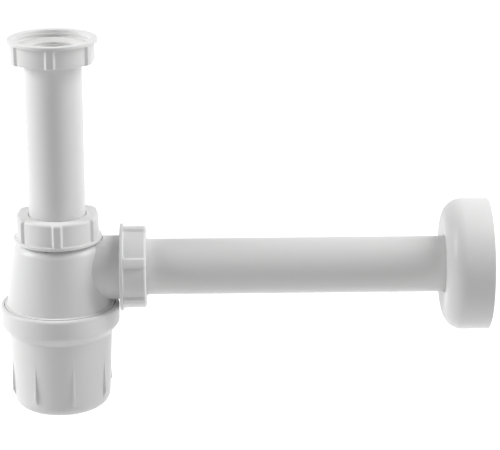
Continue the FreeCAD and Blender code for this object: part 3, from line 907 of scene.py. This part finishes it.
def make_cup():
    cup = make_cup_shell()
    combine(cup, make_grip_ribs(), "UNION")
    thread = (COLLAR_BORE, COLLAR_CREST, COLLAR_THREAD_START, COLLAR_THREAD_END, FOOT_LEAD)
    turns = wind_thread(cup, *thread)
    settle(cup, z=CUP_TOP)
    smooth(cup)
    print(f"cup: {turns:.2f} turns of thread, {GRIP_COUNT} ribs")
    return cup


cup = make_cup()

# %% [markdown]
# The gasket is a flat rubber ring on the ledge. The lower edge of the body presses on it when
# the cup is screwed home.

# %% Cup gasket
GASKET_BORE = 27.7
GASKET_RADIUS = 31.5


def make_cup_gasket():
    top = high("cup_gasket").z
    foot = low("cup_gasket").z
    gasket = turn("cup_gasket_ring", [
        (GASKET_BORE, foot, 0.4),
        (GASKET_RADIUS, foot, 0.4),
        (GASKET_RADIUS, top, 0.4),
        (GASKET_BORE, top, 0.4),
    ])
    smooth(gasket)
    return gasket


cup_gasket = make_cup_gasket()
print("gasket faces:", len(cup_gasket.data.polygons))

# %% [markdown]
# The rosette hides the hole in the wall. It is a thin dish with a very soft shoulder, and its
# front falls back a little to a short lip round the tube. Its open side is towards the wall.

# %% Wall rosette
ROSETTE_RADIUS = 37.5
ROSETTE_WALL = 1.6
ROSETTE_HOLE = 16.15
ROSETTE_FRONT = -26.0
FALL_START = 24.8
INNER_FALL_START = 26.0
LIP_FRONT = -25.1
LIP_INSIDE = -22.9
LIP_BACK = -21.5


def make_wall_rosette():
    inner = ROSETTE_RADIUS - ROSETTE_WALL
    inner_front = ROSETTE_FRONT + ROSETTE_WALL
    lip = ROSETTE_HOLE + ROSETTE_WALL
    rosette = turn("wall_rosette_dish", [
        (inner, 0, 0.3),
        (inner, inner_front, (11.0, 9.6)),
        (INNER_FALL_START, inner_front, 2.0),
        (lip, LIP_INSIDE, 0.4),
        (lip, LIP_BACK, 0.3),
        (ROSETTE_HOLE, LIP_BACK, 0.3),
        (ROSETTE_HOLE, LIP_FRONT, 0.8),
        (FALL_START, ROSETTE_FRONT, (5.0, 1.1)),
        (ROSETTE_RADIUS, ROSETTE_FRONT, (11.5, 11.0)),
        (ROSETTE_RADIUS, 0, 0.4),
    ])
    lay(rosette, wall_plane)
    smooth(rosette)
    return rosette


wall_rosette = make_wall_rosette()
print("rosette reaches x", round(max(v.co.x for v in wall_rosette.data.vertices) / MM, 2))

# %% [markdown]
# Plastic is the finish of the whole trap, so its small differences matter. Moulded pieces have a
# fine spark-eroded grain and their gloss varies a little, because the melt cools unevenly. The
# tubes are extruded: their grain is drawn out along the tube. The washer is a softer, more
# translucent plastic. Each finish is a short function, and each part of the pattern is a node.

# %% Small helpers for shader nodes
NOISE_LOW = 0.3
NOISE_HIGH = 0.7


def new_material(name):
    """An empty node tree with an output and a Principled shader."""
    material = bpy.data.materials.new(name)
    material.use_nodes = True
    nodes = material.node_tree.nodes
    nodes.clear()
    output = nodes.new("ShaderNodeOutputMaterial")
    shader = nodes.new("ShaderNodeBsdfPrincipled")
    material.node_tree.links.new(shader.outputs["BSDF"], output.inputs["Surface"])
    return material, nodes, material.node_tree.links, shader


def noise(nodes, links, scale, stretch=(1, 1, 1), detail=2.0):
    """Noise over the object's own coordinates. The scale is the number of cells in a metre."""
    coordinates = nodes.new("ShaderNodeTexCoord")
    mapping = nodes.new("ShaderNodeMapping")
    mapping.inputs["Scale"].default_value = stretch
    texture = nodes.new("ShaderNodeTexNoise")
    texture.inputs["Scale"].default_value = scale
    texture.inputs["Detail"].default_value = detail
    links.new(coordinates.outputs["Object"], mapping.inputs["Vector"])
    links.new(mapping.outputs["Vector"], texture.inputs["Vector"])
    return texture


def ranged(nodes, links, source, lowest, highest):
    """Stretch the middle of a noise to a range of values."""
    ramp = nodes.new("ShaderNodeMapRange")
    ramp.inputs["From Min"].default_value = NOISE_LOW
    ramp.inputs["From Max"].default_value = NOISE_HIGH
    ramp.inputs["To Min"].default_value = lowest
    ramp.inputs["To Max"].default_value = highest
    links.new(source.outputs["Fac"], ramp.inputs["Value"])
    return ramp


def tinted(nodes, links, source, cool, warm):
    """Mix two nearly equal colours by a slow noise."""
    mix = nodes.new("ShaderNodeMix")
    mix.data_type = "RGBA"
    mix.inputs["A"].default_value = (*cool, 1)
    mix.inputs["B"].default_value = (*warm, 1)
    links.new(source.outputs["Fac"], mix.inputs["Factor"])
    return mix


def grained(nodes, links, source, strength, depth):
    """A bump from a fine noise. The depth is in millimetres."""
    bump = nodes.new("ShaderNodeBump")
    bump.inputs["Strength"].default_value = strength
    bump.inputs["Distance"].default_value = depth * MM
    links.new(source.outputs["Fac"], bump.inputs["Height"])
    return bump


# %% [markdown]
# One function mixes every plastic of the trap: a white with a slow change of tint, a gloss that
# varies, and a fine grain. What differs is given to it. Polypropylene lets a little light in,
# which the subsurface part of the shader gives: it keeps the shaded side from looking like paint.

# %% Plastic
PLASTIC_IOR = 1.49
PLASTIC_SHEEN = 0.25
COOL_WHITE = (0.805, 0.808, 0.81)
WARM_WHITE = (0.82, 0.818, 0.812)
TINT_SCALE = 18
GLOSS_SCALE = 40
GRAIN_STRENGTH = 0.12
INNER_DEPTH = 1.2
INNER_REACH = (1.0, 0.95, 0.9)


def plastic(
    name, gloss, scale, depth, stretch=(1, 1, 1), cool=COOL_WHITE, warm=WARM_WHITE, inner_light=0.1
):
    """The gloss is a range of roughness. Scale, stretch and depth are those of the grain."""
    material, nodes, links, shader = new_material(name)
    slow = noise(nodes, links, TINT_SCALE)
    patches = noise(nodes, links, GLOSS_SCALE)
    grain = noise(nodes, links, scale, stretch, detail=3.0)
    links.new(tinted(nodes, links, slow, cool, warm).outputs["Result"], shader.inputs["Base Color"])
    links.new(ranged(nodes, links, patches, *gloss).outputs["Result"], shader.inputs["Roughness"])
    bump = grained(nodes, links, grain, GRAIN_STRENGTH, depth)
    links.new(bump.outputs["Normal"], shader.inputs["Normal"])
    shader.inputs["IOR"].default_value = PLASTIC_IOR
    shader.inputs["Specular IOR Level"].default_value = PLASTIC_SHEEN
    shader.inputs["Subsurface Weight"].default_value = inner_light
    shader.inputs["Subsurface Radius"].default_value = INNER_REACH
    shader.inputs["Subsurface Scale"].default_value = INNER_DEPTH * MM
    return material


# %% [markdown]
# The seals and the gasket are rubber: nearly black and dull, with a stronger grain than the
# plastic, and a little dust that makes it paler and rougher in patches.

# %% Rubber
RUBBER_GRAIN = 900
RUBBER_STRENGTH = 0.5
RUBBER_DEPTH = 0.05
RUBBER_GLOSS = (0.6, 0.75)
BARE_RUBBER = (0.022, 0.022, 0.023)
DUSTY_RUBBER = (0.04, 0.04, 0.04)
DUST_SCALE = 60


def rubber(name):
    material, nodes, links, shader = new_material(name)
    grain = noise(nodes, links, RUBBER_GRAIN, detail=4.0)
    dust = noise(nodes, links, DUST_SCALE)
    colour = tinted(nodes, links, dust, BARE_RUBBER, DUSTY_RUBBER)
    gloss = ranged(nodes, links, dust, *RUBBER_GLOSS)
    links.new(colour.outputs["Result"], shader.inputs["Base Color"])
    links.new(gloss.outputs["Result"], shader.inputs["Roughness"])
    bump = grained(nodes, links, grain, RUBBER_STRENGTH, RUBBER_DEPTH)
    links.new(bump.outputs["Normal"], shader.inputs["Normal"])
    return material


# %% [markdown]
# The finishes of this trap. The moulded pieces share one, and the rosette has a finer skin. Each
# tube has its own, because its grain is drawn out along its own axis.

# %% Finishes
MOULD_GRAIN = 1400
TUBE_GRAIN = 1100
TUBE_GLOSS = (0.28, 0.31)
FINE_DEPTH = 0.01
ALONG_Z = (1, 1, 0.04)
ALONG_X = (0.04, 1, 1)
moulded_white = plastic("moulded_white", (0.30, 0.35), MOULD_GRAIN, depth=0.03)
rosette_white = plastic("rosette_white", (0.31, 0.35), MOULD_GRAIN, FINE_DEPTH)
upright_tube_white = plastic("upright_tube_white", TUBE_GLOSS, TUBE_GRAIN, FINE_DEPTH, ALONG_Z)
level_tube_white = plastic("level_tube_white", TUBE_GLOSS, TUBE_GRAIN, FINE_DEPTH, ALONG_X)
washer_white = plastic(
    "washer_white", (0.42, 0.55), scale=900, depth=0.05,
    cool=(0.80, 0.80, 0.79), warm=(0.83, 0.83, 0.82), inner_light=0.35,
)
seal_rubber = rubber("seal_rubber")
tubes = (upright_tube_white, level_tube_white)
for finish in (moulded_white, rosette_white, *tubes, washer_white, seal_rubber):
    print(finish.name, "nodes:", len(finish.node_tree.nodes))

# %% [markdown]
# Now every piece gets its finish, rides on its body and stands for its CAD node, which is hidden.
# The bodies carry the nodes' names, apart from the trap body and the dip tube, which move as one.

# %% Dress the frame
DRESSED = (
    (union_nut, "union_nut", "union_nut", "nut_plastic", moulded_white),
    (waste_washer, "waste_washer", "waste_washer", "washer_plastic", washer_white),
    (inlet_tube, "inlet_tube", "inlet_tube", "tube_plastic", upright_tube_white),
    (inlet_nut, "inlet_nut", "inlet_nut", "nut_plastic", moulded_white),
    (inlet_slip_ring, "inlet_slip_ring", "inlet_slip_ring", "washer_plastic", washer_white),
    (inlet_cone_seal, "inlet_cone_seal", "inlet_cone_seal", "seal_rubber", seal_rubber),
    (trap_body, "trap_body", "trap", "body_plastic", moulded_white),
    (dip_tube, "dip_tube", "trap", "body_plastic", moulded_white),
    (cup_gasket, "cup_gasket", "cup_gasket", "seal_rubber", seal_rubber),
    (cup, "cup", "cup", "body_plastic", moulded_white),
    (outlet_nut, "outlet_nut", "outlet_nut", "nut_plastic", moulded_white),
    (outlet_slip_ring, "outlet_slip_ring", "outlet_slip_ring", "washer_plastic", washer_white),
    (outlet_cone_seal, "outlet_cone_seal", "outlet_cone_seal", "seal_rubber", seal_rubber),
    (outlet_tube, "outlet_tube", "outlet_tube", "tube_plastic", level_tube_white),
    (wall_rosette, "wall_rosette", "wall_rosette", "rosette_plastic", rosette_white),
)
for piece, node, body, slot, material in DRESSED:
    piece.data.materials.clear()
    piece.data.materials.append(material)
    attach(piece, body)
    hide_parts(node)
print("pieces dressed:", len(DRESSED))

# %% [markdown]
# The studio is plain: a pale floor under a soft even world. The camera sees both as white. The
# light that the world gives to the trap is much weaker than that white.

# %% World
WORLD_LIGHT = 0.251
WHITE = (1, 1, 1, 1)


def looked_at(nodes, links):
    """One where the camera looks, directly, in a reflection or through a piece, and else zero."""
    path = nodes.new("ShaderNodeLightPath")
    total = path.outputs["Is Camera Ray"]
    for ray in ("Is Glossy Ray", "Is Transmission Ray"):
        either = nodes.new("ShaderNodeMath")
        either.operation = "MAXIMUM"
        links.new(total, either.inputs[0])
        links.new(path.outputs[ray], either.inputs[1])
        total = either.outputs["Value"]
    return total


def light_the_world():
    world = bpy.data.worlds.new("studio")
    bpy.context.scene.world = world
    world.use_nodes = True
    nodes = world.node_tree.nodes
    links = world.node_tree.links
    nodes.clear()
    output = nodes.new("ShaderNodeOutputWorld")
    even = nodes.new("ShaderNodeBackground")
    even.inputs["Color"].default_value = WHITE
    even.inputs["Strength"].default_value = WORLD_LIGHT
    seen = nodes.new("ShaderNodeBackground")
    seen.inputs["Color"].default_value = WHITE
    mix = nodes.new("ShaderNodeMixShader")
    links.new(looked_at(nodes, links), mix.inputs["Fac"])
    links.new(even.outputs["Background"], mix.inputs[1])
    links.new(seen.outputs["Background"], mix.inputs[2])
    links.new(mix.outputs["Shader"], output.inputs["Surface"])


light_the_world()
print("world light:", WORLD_LIGHT)

# %% [markdown]
# The floor hands light on to the trap from below, as pale paper does. For the camera its white
# comes on top of the light that reaches it, so it can still take a shadow. This trap hangs well
# above the floor, and its own shadow is too soft to be seen.

# %% Floor
FLOOR_HEIGHT = -0.36
FLOOR_SIZE = 5.0
FLOOR_LIFT = 0.68
PALE = (0.8, 0.8, 0.8, 1)
NEAR_WHITE = (0.95, 0.95, 0.95, 1)


def lay_floor():
    bpy.ops.mesh.primitive_plane_add(size=FLOOR_SIZE, location=(0, 0, FLOOR_HEIGHT))
    floor = bpy.context.object
    floor.name = "studio_floor"
    material = bpy.data.materials.new("floor_white")
    material.use_nodes = True
    nodes = material.node_tree.nodes
    links = material.node_tree.links
    nodes.clear()
    output = nodes.new("ShaderNodeOutputMaterial")
    pale = nodes.new("ShaderNodeBsdfDiffuse")
    pale.inputs["Color"].default_value = PALE
    white = nodes.new("ShaderNodeBsdfDiffuse")
    white.inputs["Color"].default_value = NEAR_WHITE
    lift = nodes.new("ShaderNodeEmission")
    lift.inputs["Strength"].default_value = FLOOR_LIFT
    lifted = nodes.new("ShaderNodeAddShader")
    mix = nodes.new("ShaderNodeMixShader")
    links.new(white.outputs["BSDF"], lifted.inputs[0])
    links.new(lift.outputs["Emission"], lifted.inputs[1])
    links.new(looked_at(nodes, links), mix.inputs["Fac"])
    links.new(pale.outputs["BSDF"], mix.inputs[1])
    links.new(lifted.outputs["Shader"], mix.inputs[2])
    links.new(mix.outputs["Shader"], output.inputs["Surface"])
    floor.data.materials.append(material)
    floor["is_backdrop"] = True


lay_floor()
print(f"floor at z {FLOOR_HEIGHT} m")

# %% [markdown]
# The plastic is brightest towards its left and right edges and darker where it faces the camera.
# So the lamps are large and stand at the sides, above the object, and the pale floor fills in
# from below. The third lamp is higher up on the right and lights what faces upwards.

# %% Lamps
MIDDLE = Vector((0.109, 0, -0.106))


def lamp(name, place, width, height, watts):
    """A rectangular area lamp that looks at the middle of the object."""
    bpy.ops.object.light_add(type="AREA", location=place)
    light = bpy.context.object
    light.name = light.data.name = name
    light.data.shape = "RECTANGLE"
    light.data.size = width
    light.data.size_y = height
    light.data.energy = watts
    light.rotation_euler = (Vector(place) - MIDDLE).to_track_quat("Z", "Y").to_euler()
    return light


lamps = [
    lamp("left_lamp", (-1.0, 0.0, 0.45), width=0.5, height=0.6, watts=10.2),
    lamp("right_lamp", (1.3, 0.0, 0.45), width=0.55, height=0.6, watts=6.0),
    lamp("upper_right_lamp", (0.85, 0.0, 0.85), width=0.45, height=0.6, watts=6.5),
]
print("lamps:", {light.name: light.data.energy for light in lamps})

# %% [markdown]
# The camera stands almost straight in front, about 18 degrees above the object and 1.2 metres
# away, with a long lens. It is given by where it looks and from which side, and its place follows
# from those.

# %% Camera
CAMERA_SIDE = math.radians(-1.5)
CAMERA_RISE = math.radians(18.0)
CAMERA_ROLL = math.radians(-0.1)
CAMERA_DISTANCE = 1.1933
CAMERA_TARGET = Vector((0.109, 0, -0.1056))
CAMERA_LENS = 151.2


def place_camera():
    back = Vector((
        math.sin(CAMERA_SIDE) * math.cos(CAMERA_RISE),
        -math.cos(CAMERA_SIDE) * math.cos(CAMERA_RISE),
        math.sin(CAMERA_RISE),
    ))
    level = Vector((math.cos(CAMERA_SIDE), math.sin(CAMERA_SIDE), 0))
    upright = back.cross(level)
    right = level * math.cos(CAMERA_ROLL) + upright * math.sin(CAMERA_ROLL)
    up = back.cross(right)
    bpy.ops.object.camera_add()
    camera = bpy.context.object
    camera.matrix_world = Matrix((
        (right.x, up.x, back.x, 0),
        (right.y, up.y, back.y, 0),
        (right.z, up.z, back.z, 0),
        (0, 0, 0, 1),
    ))
    camera.location = CAMERA_TARGET + back * CAMERA_DISTANCE
    camera.data.sensor_width = 36.0
    camera.data.lens = CAMERA_LENS
    camera.data.dof.use_dof = False
    bpy.context.scene.camera = camera
    return camera


camera = place_camera()
print("camera at", [round(value, 4) for value in camera.location])

# %% [markdown]
# Colours are shown as they are written, with no film look. White plastic hands light on many
# times in the gaps between the pieces, so light may bounce more often than it does by default.

# %% Colours and bounces
DIFFUSE_BOUNCES = 10
scene = bpy.context.scene
scene.view_settings.view_transform = "Standard"
scene.cycles.diffuse_bounces = DIFFUSE_BOUNCES
print("view:", scene.view_settings.view_transform, "bounces:", scene.cycles.diffuse_bounces)

# %% [markdown]
# The dressed object has to fill the same box as the CAD model, so both boxes are printed.

# %% Print both boxes and finish
boxes = {
    "cad": [list(corner) for corner in cad_box],
    "visual": [list(corner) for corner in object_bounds()],
}
for name, (lowest, highest) in boxes.items():
    print(name, [round((b - a) / MM, 1) for a, b in zip(lowest, highest)], "mm")
